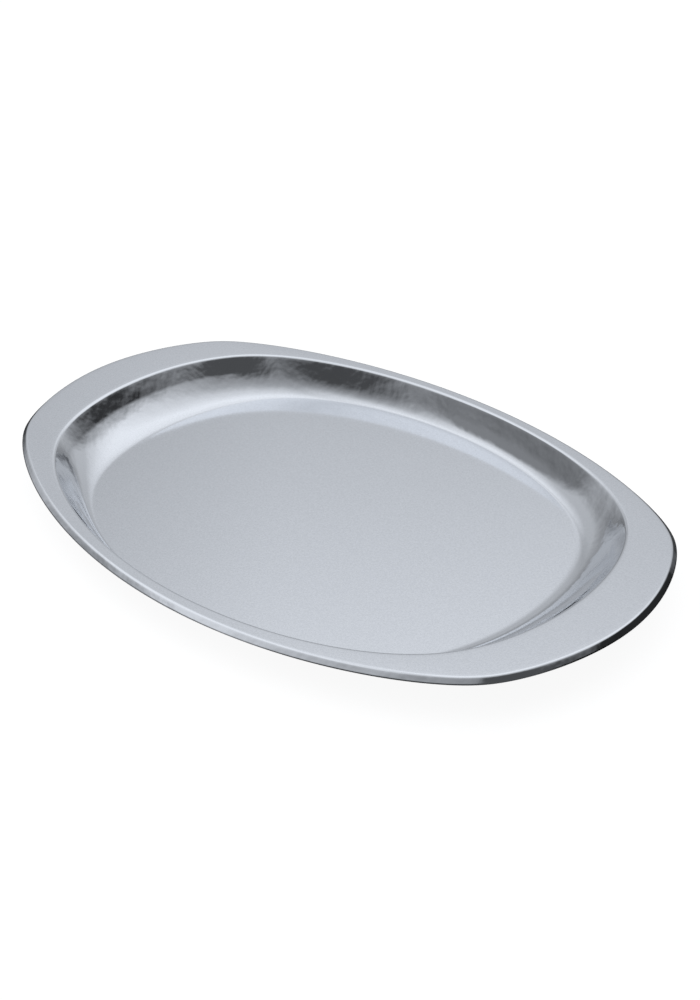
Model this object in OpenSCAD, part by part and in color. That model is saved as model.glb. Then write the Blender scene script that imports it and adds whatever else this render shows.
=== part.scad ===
// Oval serving tray pressed from one sheet of stainless steel.
// The frame stands on the middle of the flat floor's underside: +X runs along the tray, +Z up.
// The sheet is one closed skin. At every station round the tray a profile runs from the
// bottom of the flared edge, over the rim and down the well to the edge of the floor.

/* [Rim] */
// Length of the tray over its flared edge
tray_length = 450; // [420:5:500]
// Width of the tray over its flared edge
tray_width = 305; // [296:1:320]
// How far the outline's four corners stand out beyond an ellipse
corner_fullness = 8.7; // [4:0.1:10]
// How much of that fullness is lost away from the corners
corner_focus = 4.4; // [0:0.2:6]
// Height that the rim's two tips rise above the middle of its long sides
tip_rise = 6.7; // [0:0.1:12]
// Height of the flared edge
edge_drop = 3.1; // [2:0.1:5]
// Width of the flared edge, seen from above
edge_flare = 3.1; // [1.5:0.1:5]
// Radius of the bend into the flared edge
edge_bend = 1; // [0.8:0.1:1.4]

/* [Well] */
// Width of the rim and its edge at each end, where a hand grips it
grip_width = 35; // [28:0.5:42]
// Width of the rim and its edge at the middle of each long side
side_rim_width = 10.2; // [9:0.1:14]
// Height of the rim's top above the resting surface, at the middle of the long sides
rim_height = 21; // [19:0.5:30]
// How far the corners of the well's mouth stand out beyond an ellipse
mouth_fullness = 8.2; // [5:0.1:10]
// Radius of the bend from the rim into the wall
lip_bend = 1.5; // [1:0.1:2]
// Height of the straight upper part of the wall
wall_drop = 10; // [7:0.5:12]
// Share of the way to the floor that the straight upper part of the wall takes, at the ends
end_wall_share = 0.25; // [0.2:0.01:0.35]
// The same share at the middle of the long sides
side_wall_share = 0.35; // [0.25:0.01:0.4]

/* [Floor] */
// Distance from the well's mouth to the flat floor, at the ends
slope_end_width = 33.2; // [28:0.2:40]
// Distance from the well's mouth to the flat floor, at the long sides
slope_side_width = 12.3; // [11:0.1:18]
// How far the floor's four corners stand out beyond an ellipse
floor_fullness = 7.4; // [4:0.1:9]
// How far the fillet's curve reaches along the floor before it turns up, as a share of its width
knee_share = 0.6; // [0.5:0.01:0.7]

/* [Sheet] */
// Thickness of the steel sheet
sheet = 0.8; // [0.6:0.1:1]

/* [Hidden] */
stations = 96;
bend_steps = 2;
fillet_steps = 6;
half_length = tray_length / 2;
half_width = tray_width / 2;

// An oval is [half length, half width, fullness, focus]: an ellipse with fuller corners
rim = [half_length, half_width, corner_fullness, corner_focus];
mouth = [half_length - grip_width, half_width - side_rim_width, mouth_fullness, 0];
floor_edge = [mouth[0] - slope_end_width, mouth[1] - slope_side_width, floor_fullness, 0];

// Outward direction at a station, and the point of an oval, grown by `grow`, that faces it.
// `reach` is the distance to the tangent there from the middle, and `slide` is its change by angle.
function facing(angle) = [cos(angle), sin(angle)];
function oval_point(oval, angle, grow = 0) =
    let (n = facing(angle), cross = sin(2 * angle), along = cos(2 * angle),
         ellipse = norm([oval[0] * n.x, oval[1] * n.y]),
         full = oval[2] - oval[3] * along * along,
         reach = ellipse + full * cross * cross + grow,
         slide = (oval[1] * oval[1] - oval[0] * oval[0]) * n.x * n.y / ellipse
                 + 4 * cross * along * (full + oval[3] * cross * cross))
    [reach * n.x - slide * n.y, reach * n.y + slide * n.x];

// Height of the rim's top, which curves up towards both tips
function rim_top(x) = rim_height + tip_rise * pow(x / half_length, 2);
function on_rim(oval, angle, grow, drop) =
    let (p = oval_point(oval, angle, grow)) [p.x, p.y, rim_top(p.x) - drop];
function at_height(p, z) = [p.x, p.y, z];
function between(a, b, share) = a * (1 - share) + b * share;
function curve(a, c, b, steps) =
    [for (i = [0:steps]) let (s = i / steps) between(between(a, c, s), between(c, b, s), s)];

// Upper skin at one station, from the bottom of the flared edge to the edge of the floor
function upper_skin(angle) =
    let (edge = norm([edge_flare, edge_drop]),
         lip = on_rim(mouth, angle, 0, 0),
         foot = at_height(oval_point(floor_edge, angle), sheet),
         wall_share = between(side_wall_share, end_wall_share, pow(cos(angle), 2)),
         wall_foot = at_height(between(lip, foot, wall_share), lip.z - wall_drop),
         knee = at_height(between(wall_foot, foot, knee_share), sheet),
         down = (wall_foot - lip) / norm(wall_foot - lip))
    concat(
        [on_rim(rim, angle, 0, edge_drop)],
        curve(on_rim(rim, angle, edge_flare * (edge_bend / edge - 1), edge_drop * edge_bend / edge),
              on_rim(rim, angle, -edge_flare, 0),
              on_rim(rim, angle, -edge_flare - edge_bend, 0), bend_steps),
        curve(on_rim(mouth, angle, lip_bend, 0), lip, lip + down * lip_bend, bend_steps),
        curve(wall_foot, knee, foot, fillet_steps));

// Lower skin: the upper skin moved through the sheet, square to each stretch of the profile
function left_of(d) = [-d.y, d.x] / norm(d);
function lower_skin(angle, top) =
    let (n = facing(angle), last = len(top) - 1,
         flat = [for (p = top) [p.x * n.x + p.y * n.y, p.z]],
         side = [for (i = [1:last]) left_of(flat[i] - flat[i - 1])])
    [for (i = [0:last])
        let (before = i == 0 ? side[0] : side[i - 1], after = i == last ? [0, -1] : side[i],
             m = (before + after) / (1 + before * after) * sheet)
        [top[i].x + m.x * n.x, top[i].y + m.x * n.y, top[i].z + m.y]];

function section(angle) = let (top = upper_skin(angle), under = lower_skin(angle, top))
    concat(top, [for (i = [len(top) - 1:-1:0]) under[i]]);

// The pressed sheet: flared edge, rim, well and flat floor
module tray_sheet() {
    sections = [for (k = [0:stations - 1]) section(k * 360 / stations)];
    count = len(sections[0]);
    half = count / 2;
    walls = [for (k = [0:stations - 1], i = [0:count - 1]) if (i != half - 1)
        let (a = k * count + i, b = k * count + (i + 1) % count,
             c = ((k + 1) % stations) * count + (i + 1) % count, d = ((k + 1) % stations) * count + i)
        each [[a, b, c], [a, c, d]]];
    floor_top = [for (k = [stations - 1:-1:0]) k * count + half - 1];
    floor_under = [for (k = [0:stations - 1]) k * count + half];
    color([0.75, 0.76, 0.78])
        polyhedron([for (s = sections) each s], concat(walls, [floor_top, floor_under]), convexity = 4);
}

tray_sheet();
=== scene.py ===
"""An oval serving tray, pressed from one sheet of stainless steel, on a plain studio floor.

The tray is one mesh. At every station round it a profile runs from the bottom of the flared edge, over the rim,
down the wall and through the fillet to the flat floor. The same profile, moved through the thickness of the
sheet, makes the underside. All lengths are in metres.
"""
import math

import bpy
import numpy as np
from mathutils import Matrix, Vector


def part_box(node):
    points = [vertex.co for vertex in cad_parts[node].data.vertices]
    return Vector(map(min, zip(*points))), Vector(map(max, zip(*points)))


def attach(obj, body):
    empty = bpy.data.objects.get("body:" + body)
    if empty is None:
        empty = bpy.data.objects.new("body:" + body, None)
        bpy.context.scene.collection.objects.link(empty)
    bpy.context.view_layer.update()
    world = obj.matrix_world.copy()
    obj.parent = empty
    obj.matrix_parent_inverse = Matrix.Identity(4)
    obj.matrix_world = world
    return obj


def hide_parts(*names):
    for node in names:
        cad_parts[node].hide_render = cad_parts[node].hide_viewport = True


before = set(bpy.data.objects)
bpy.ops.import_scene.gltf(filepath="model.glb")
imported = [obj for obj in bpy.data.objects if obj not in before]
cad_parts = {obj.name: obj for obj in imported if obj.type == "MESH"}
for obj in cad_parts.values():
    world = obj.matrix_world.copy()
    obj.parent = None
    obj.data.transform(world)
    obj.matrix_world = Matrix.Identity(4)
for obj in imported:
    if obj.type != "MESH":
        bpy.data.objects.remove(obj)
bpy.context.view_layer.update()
node_low, node_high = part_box("tray_sheet")

MM = 0.001

# Sizes that come from the frame
HALF_LENGTH = node_high[0]
HALF_WIDTH = node_high[1]

# The rim and its flared edge
CORNER_FULLNESS = 8.7 * MM
CORNER_FOCUS = 4.4 * MM
TIP_RISE = 6.7 * MM
EDGE_DROP = 3.1 * MM
EDGE_FLARE = 3.1 * MM
EDGE_BEND = 1.0 * MM

# The well
GRIP_WIDTH = 35 * MM
SIDE_RIM_WIDTH = 10.2 * MM
RIM_HEIGHT = 21 * MM
MOUTH_FULLNESS = 8.2 * MM
LIP_BEND = 1.5 * MM
WALL_DROP = 10 * MM
END_WALL_SHARE = 0.25
SIDE_WALL_SHARE = 0.35
CREASE = 1.2 * MM

# The floor
SLOPE_END_WIDTH = 33.2 * MM
SLOPE_SIDE_WIDTH = 12.3 * MM
FLOOR_FULLNESS = 7.4 * MM
KNEE_SHARE = 0.6
SHEET = 0.8 * MM

# How far the raw edge bulges, as a share of half the sheet
EDGE_ROUND = 0.35

STATIONS = 480

# Direction that the studio faces, turned from +Y: the same way as the camera
STUDIO_TURN = math.radians(42.8)
# Middles of the room's two dark walls, as degrees right of far and above the horizon
DARK_RIGHT, DARK_LEFT = (150, 10), (-160, 0)
# Brightness by degrees from each dark wall's middle, from straight up, and from the camera's right
FROM_RIGHT_WALL = ((0, 0.07), (43, 0.08), (50, 0.3), (60, 0.46), (70, 0.72), (95, 1.1))
FROM_LEFT_WALL = ((0, 0.06), (36, 0.07), (51, 0.42), (65, 0.76), (95, 1.1))
BACKDROP = ((0, 1.0), (25, 1.08), (45, 1.0), (60, 0.68), (66, 0.56), (76, 0.54), (84, 0.35), (95, 0.05))
SIDE = ((30, 0.04), (35, 0.06), (42, 0.47), (50, 1.0), (93, 0.97), (101, 0.81), (112, 0.95), (147, 1.0), (156, 0.45))


# ---------------------------------------------------------------- outlines

# An oval is (half length, half width, fullness, focus): an ellipse with fuller corners
RIM = HALF_LENGTH, HALF_WIDTH, CORNER_FULLNESS, CORNER_FOCUS
MOUTH = HALF_LENGTH - GRIP_WIDTH, HALF_WIDTH - SIDE_RIM_WIDTH, MOUTH_FULLNESS, 0
FLOOR_EDGE = MOUTH[0] - SLOPE_END_WIDTH, MOUTH[1] - SLOPE_SIDE_WIDTH, FLOOR_FULLNESS, 0

ANGLES = np.arange(STATIONS) * 2 * math.pi / STATIONS
FACING = np.stack([np.cos(ANGLES), np.sin(ANGLES)], axis=1)


def outline(oval, grow=0.0):
    """The point of an oval, grown outward, that faces each station's direction.

    Reach is the distance from the middle to the tangent there, and slide is how it changes with the angle.
    """
    a, b, fullness, focus = oval
    x, y = FACING.T
    cross, along = np.sin(2 * ANGLES), np.cos(2 * ANGLES)
    ellipse = np.hypot(a * x, b * y)
    full = fullness - focus * along ** 2
    reach = ellipse + full * cross ** 2 + grow
    slide = (b * b - a * a) * x * y / ellipse + 4 * cross * along * (full + focus * cross ** 2)
    return np.column_stack([reach * x - slide * y, reach * y + slide * x])


# ---------------------------------------------------------------- the sheet's profile

def at(points, z):
    """A ring of points at a height, which is one number or one for each station."""
    return np.column_stack([points[:, :2], np.broadcast_to(z, len(points))])


def on_rim(oval, grow, drop):
    """A ring that follows the rim, whose top curves up towards both tips."""
    p = outline(oval, grow)
    return at(p, RIM_HEIGHT + TIP_RISE * (p[:, 0] / HALF_LENGTH) ** 2 - drop)


def toward(a, b, distance):
    """The ring that lies a distance from ring a on the way to ring b."""
    way = b - a
    return a + way / np.linalg.norm(way, axis=1, keepdims=True) * distance


def arc_bend(a, corner, b, steps):
    """Rings from a to b round a corner, on a curve tangent to both sides."""
    return [a * (1 - s) ** 2 + corner * 2 * s * (1 - s) + b * s ** 2 for s in np.linspace(0, 1, steps + 1)]


def straight(a, b, steps):
    """Rings between a and b, without either."""
    return [a + (b - a) * s for s in np.linspace(0, 1, steps + 1)[1:-1]]


def upper_skin():
    """The rings of the upper skin, from the bottom of the flared edge to the middle of the floor, and their polish.

    Polish is 0 on the satin floor and rim, and 1 on the polished edge, lip and wall.
    """
    bottom = on_rim(RIM, 0, EDGE_DROP)
    corner = on_rim(RIM, -EDGE_FLARE, 0)
    edge = arc_bend(toward(corner, bottom, EDGE_BEND), corner, on_rim(RIM, -EDGE_FLARE - EDGE_BEND, 0), 8)
    mouth = on_rim(MOUTH, 0, 0)
    foot = at(outline(FLOOR_EDGE), SHEET)
    wall_share = SIDE_WALL_SHARE + (END_WALL_SHARE - SIDE_WALL_SHARE) * FACING[:, :1] ** 2
    wall_foot = mouth + (foot - mouth) * wall_share
    wall_foot[:, 2] = mouth[:, 2] - WALL_DROP
    knee = at(wall_foot + (foot - wall_foot) * KNEE_SHARE, SHEET)
    lip = arc_bend(on_rim(MOUTH, LIP_BEND, 0), mouth, toward(mouth, wall_foot, LIP_BEND), 8)
    over, below = toward(wall_foot, mouth, CREASE), toward(wall_foot, knee, CREASE)
    stretches = [
        ([bottom] + straight(bottom, edge[0], 4), 1, 1),
        (edge, 1, 0),
        (straight(edge[-1], lip[0], 10), 0, 0),
        (lip, 0, 1),
        (straight(lip[-1], over, 6), 1, 1),
        (arc_bend(over, wall_foot, below, 4), 1, 1),
        (arc_bend(below, knee, foot, 30)[1:], 1, 0),
        ([at(foot * (1 - s), SHEET) for s in (0.01, 0.03, 0.07, 0.15, 0.3, 0.45, 0.6, 0.75, 0.88, 0.96)], 0, 0)]
    rings = [ring for stretch, _, _ in stretches for ring in stretch]
    polish = np.concatenate([np.linspace(start, end, len(stretch)) for stretch, start, end in stretches])
    return rings, polish


def normals(rings):
    """Unit normals of the upper skin, by differences along and across the rings."""
    grid = np.array(rings)
    along = np.roll(grid, -1, axis=1) - np.roll(grid, 1, axis=1)
    across = np.gradient(grid, axis=0)
    n = np.cross(along, across)
    return n / np.linalg.norm(n, axis=2, keepdims=True)


def tray_mesh():
    """The closed sheet: upper skin, a rounded raw edge, and the lower skin."""
    rings, polish = upper_skin()
    top = np.array(rings)
    n = normals(top)
    under = top - n * SHEET
    under[:, :, 2] = np.maximum(under[:, :, 2], 0)
    half = SHEET / 2
    outward = top[0] - top[1]
    outward /= np.linalg.norm(outward, axis=1, keepdims=True)
    middle = top[0] - n[0] * half - outward * half * EDGE_ROUND
    raw = [middle - n[0] * half * math.cos(t) + outward * half * EDGE_ROUND * math.sin(t)
           for t in np.linspace(0, math.pi, 7)[1:-1]]
    grid = np.concatenate([under[::-1], raw, top])
    for ring in (len(under) - 1, len(under) + len(raw)):
        grid[ring] -= outward * half * EDGE_ROUND
    rows = len(grid)
    points = grid.reshape(-1, 3)
    k = np.arange(STATIONS)
    nxt = (k + 1) % STATIONS
    faces = []
    for r in range(rows - 1):
        a, b = r * STATIONS, (r + 1) * STATIONS
        faces += np.column_stack([a + k, a + nxt, b + nxt, b + k]).tolist()
    low, high = len(points), len(points) + 1
    points = np.vstack([points, [0, 0, grid[0, 0, 2]], [0, 0, grid[-1, 0, 2]]])
    last = (rows - 1) * STATIONS
    faces += np.column_stack([nxt, k, np.full(STATIONS, low)]).tolist()
    faces += np.column_stack([last + k, last + nxt, np.full(STATIONS, high)]).tolist()
    mesh = bpy.data.meshes.new("tray_sheet_skin")
    mesh.from_pydata(points.tolist(), [], faces)
    mesh.validate()
    mesh.shade_smooth()
    attribute = mesh.attributes.new("polish", "FLOAT", "POINT")
    row_polish = np.concatenate([np.zeros(len(under)), np.ones(len(raw)), polish])
    attribute.data.foreach_set("value", np.append(np.repeat(row_polish, STATIONS), [0, 0]).astype(np.float32))
    obj = bpy.data.objects.new("pressed_tray", mesh)
    bpy.context.scene.collection.objects.link(obj)
    return obj


# ---------------------------------------------------------------- materials

def new_material(name):
    m = bpy.data.materials.new(name)
    m.use_nodes = True
    nodes, links = m.node_tree.nodes, m.node_tree.links
    return m, nodes, links, nodes["Principled BSDF"]


def glowing(name, base, emission, strength):
    """A matt material with no gloss that gives off its own light."""
    m, _, _, shader = new_material(name)
    shader.inputs["Base Color"].default_value = (base, base, base, 1)
    shader.inputs["Roughness"].default_value = 0.9
    shader.inputs["Specular IOR Level"].default_value = 0
    shader.inputs["Emission Color"].default_value = (*emission, 1)
    shader.inputs["Emission Strength"].default_value = strength
    return m


def ramp(nodes, stops):
    """A colour ramp; each stop is a place and one grey or one colour."""
    node = nodes.new("ShaderNodeValToRGB")
    elements = node.color_ramp.elements
    while len(elements) < len(stops):
        elements.new(0.5)
    for element, (place, value) in zip(elements, stops):
        element.position = place
        element.color = (*value, 1) if isinstance(value, tuple) else (value, value, value, 1)
    return node


def noise(nodes, links, vector, scale, detail, roughness=0.5):
    node = nodes.new("ShaderNodeTexNoise")
    node.inputs["Scale"].default_value = scale
    node.inputs["Detail"].default_value = detail
    node.inputs["Roughness"].default_value = roughness
    links.new(vector, node.inputs["Vector"])
    return node


def steel():
    """Pressed stainless sheet: satin on the floor and rim, polished on the wall, the lip and the edge.

    The mesh's polish attribute is 0 on satin and 1 on polished metal.
    """
    m, nodes, links, shader = new_material("stainless_steel")
    shader.inputs["Metallic"].default_value = 1
    place = nodes.new("ShaderNodeTexCoord").outputs["Object"]
    along_tray = nodes.new("ShaderNodeMapping")
    along_tray.inputs["Scale"].default_value = (14, 260, 260)
    links.new(place, along_tray.inputs["Vector"])
    polish = nodes.new("ShaderNodeAttribute")
    polish.attribute_name = "polish"

    grain = noise(nodes, links, place, 900, 3)
    brush = noise(nodes, links, along_tray.outputs["Vector"], 1, 4, 0.6)
    wave = noise(nodes, links, place, 42, 3)

    tone = ramp(nodes, [(0.35, (0.70, 0.718, 0.746)), (0.65, (0.76, 0.778, 0.806))])
    links.new(grain.outputs["Fac"], tone.inputs["Fac"])
    bright = nodes.new("ShaderNodeMix")
    bright.data_type = "RGBA"
    links.new(polish.outputs["Fac"], bright.inputs[0])
    links.new(tone.outputs["Color"], bright.inputs[6])
    bright.inputs[7].default_value = (0.82, 0.838, 0.866, 1)
    links.new(bright.outputs[2], shader.inputs["Base Color"])

    satin = ramp(nodes, [(0.3, 0.07), (0.7, 0.12)])
    links.new(brush.outputs["Fac"], satin.inputs["Fac"])
    rough = nodes.new("ShaderNodeMix")
    rough.data_type = "FLOAT"
    links.new(polish.outputs["Fac"], rough.inputs[0])
    links.new(satin.outputs["Color"], rough.inputs[2])
    rough.inputs[3].default_value = 0.07
    links.new(rough.outputs[0], shader.inputs["Roughness"])

    # The press leaves the polished wall slightly wavy; the satin has a fine grain
    depth = nodes.new("ShaderNodeMath")
    depth.operation = "MULTIPLY"
    links.new(polish.outputs["Fac"], depth.inputs[0])
    depth.inputs[1].default_value = 0.16
    ripple = nodes.new("ShaderNodeBump")
    links.new(depth.outputs[0], ripple.inputs["Strength"])
    ripple.inputs["Distance"].default_value = 0.004
    links.new(wave.outputs["Fac"], ripple.inputs["Height"])
    fine = nodes.new("ShaderNodeBump")
    fine.inputs["Strength"].default_value = 0.05
    fine.inputs["Distance"].default_value = 0.0002
    links.new(grain.outputs["Fac"], fine.inputs["Height"])
    links.new(ripple.outputs["Normal"], fine.inputs["Normal"])
    links.new(fine.outputs["Normal"], shader.inputs["Normal"])
    return m


# ---------------------------------------------------------------- studio

def add_floor():
    """A white table lit from below, so that only a faint shadow is left under the tray."""
    bpy.ops.mesh.primitive_plane_add(size=24, location=(0, 0, -0.0001))
    floor = bpy.context.object
    floor.name = "studio_floor"
    floor.data.materials.append(glowing("studio_floor", 0.2, (1, 1, 1), 0.93))
    floor.visible_glossy = False


def add_backdrop():
    """A pale dome that closes the studio behind the floor; only the camera sees it, so it lights nothing."""
    bpy.ops.mesh.primitive_uv_sphere_add(segments=48, ring_count=24, radius=11)
    dome = bpy.context.object
    dome.name = "studio_backdrop"
    dome.data.materials.append(glowing("studio_backdrop", 0, (0.97, 0.98, 1), 1))
    dome.visible_diffuse = dome.visible_glossy = dome.visible_transmission = dome.visible_shadow = False


def add_camera():
    """Looks down at the tray from beyond its near side, with the long axis running away to the left."""
    azimuth, elevation = STUDIO_TURN, math.radians(32.2)
    distance = 0.867
    aim_right, aim_up = 13.4 * MM, -10.5 * MM
    back = Vector((math.sin(azimuth) * math.cos(elevation), -math.cos(azimuth) * math.cos(elevation),
                   math.sin(elevation)))
    right = Vector((math.cos(azimuth), math.sin(azimuth), 0))
    up = back.cross(right)
    target = Vector((0, 0, RIM_HEIGHT)) + right * aim_right + up * aim_up
    data = bpy.data.cameras.new("camera")
    data.sensor_width = 36
    data.lens = 49.8
    camera = bpy.data.objects.new("camera", data)
    camera.location = target + back * distance
    camera.rotation_mode = "QUATERNION"
    camera.rotation_quaternion = (-back).to_track_quat("-Z", "Y")
    bpy.context.scene.collection.objects.link(camera)
    bpy.context.scene.camera = camera


def add_world():
    """A studio: soft light above and beyond the tray, a dimmer backdrop low behind it, and a dark room.

    Far, right and up are the directions as the camera sees them. The light fades toward two dark walls and
    toward the horizon, and it is cut off at the right.
    """
    world = bpy.data.worlds.new("studio")
    bpy.context.scene.world = world
    world.use_nodes = True
    nodes, links = world.node_tree.nodes, world.node_tree.links
    background = nodes["Background"]
    coords = nodes.new("ShaderNodeTexCoord")
    far = Vector((-math.sin(STUDIO_TURN), math.cos(STUDIO_TURN), 0))
    right = Vector((math.cos(STUDIO_TURN), math.sin(STUDIO_TURN), 0))

    def math_node(kind, *values):
        node = nodes.new("ShaderNodeMath")
        node.operation = kind
        for socket, value in zip(node.inputs, values):
            if isinstance(value, (int, float)):
                socket.default_value = value
            else:
                links.new(value, socket)
        return node.outputs[0]

    def toward_direction(turn, height):
        """Degrees between a ray and the direction that lies turn degrees right of far, height degrees up."""
        turn, height = math.radians(turn), math.radians(height)
        aim = (far * math.cos(turn) + right * math.sin(turn)) * math.cos(height) + Vector((0, 0, math.sin(height)))
        node = nodes.new("ShaderNodeVectorMath")
        node.operation = "DOT_PRODUCT"
        links.new(coords.outputs["Generated"], node.inputs[0])
        node.inputs[1].default_value = aim
        return math_node("MULTIPLY", math_node("ARCCOSINE", node.outputs["Value"]), 180 / math.pi)

    def level(degrees, stops):
        """Brightness that follows an angle; each stop is an angle from 0 to 180 and a brightness."""
        node = ramp(nodes, [(angle / 180, value) for angle, value in stops])
        links.new(math_node("DIVIDE", degrees, 180), node.inputs["Fac"])
        return node.outputs["Color"]

    room = math_node("SMOOTH_MIN", level(toward_direction(*DARK_RIGHT), FROM_RIGHT_WALL),
                     level(toward_direction(*DARK_LEFT), FROM_LEFT_WALL), 0.06)
    room = math_node("SMOOTH_MIN", room, level(toward_direction(0, 90), BACKDROP), 0.06)
    room = math_node("MULTIPLY", room, level(toward_direction(90, 0), SIDE))
    tint = nodes.new("ShaderNodeMix")
    tint.data_type, tint.blend_type = "RGBA", "MULTIPLY"
    tint.inputs[0].default_value = 1
    links.new(room, tint.inputs[6])
    tint.inputs[7].default_value = (0.97, 1.0, 1.05, 1)
    links.new(tint.outputs[2], background.inputs["Color"])


tray = tray_mesh()
tray.data.materials.append(steel())
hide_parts("tray_sheet")
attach(tray, "root")

add_floor()
add_backdrop()
add_camera()
add_world()
bpy.context.scene.view_settings.view_transform = "Standard"
bpy.context.scene.cycles.use_denoising = True
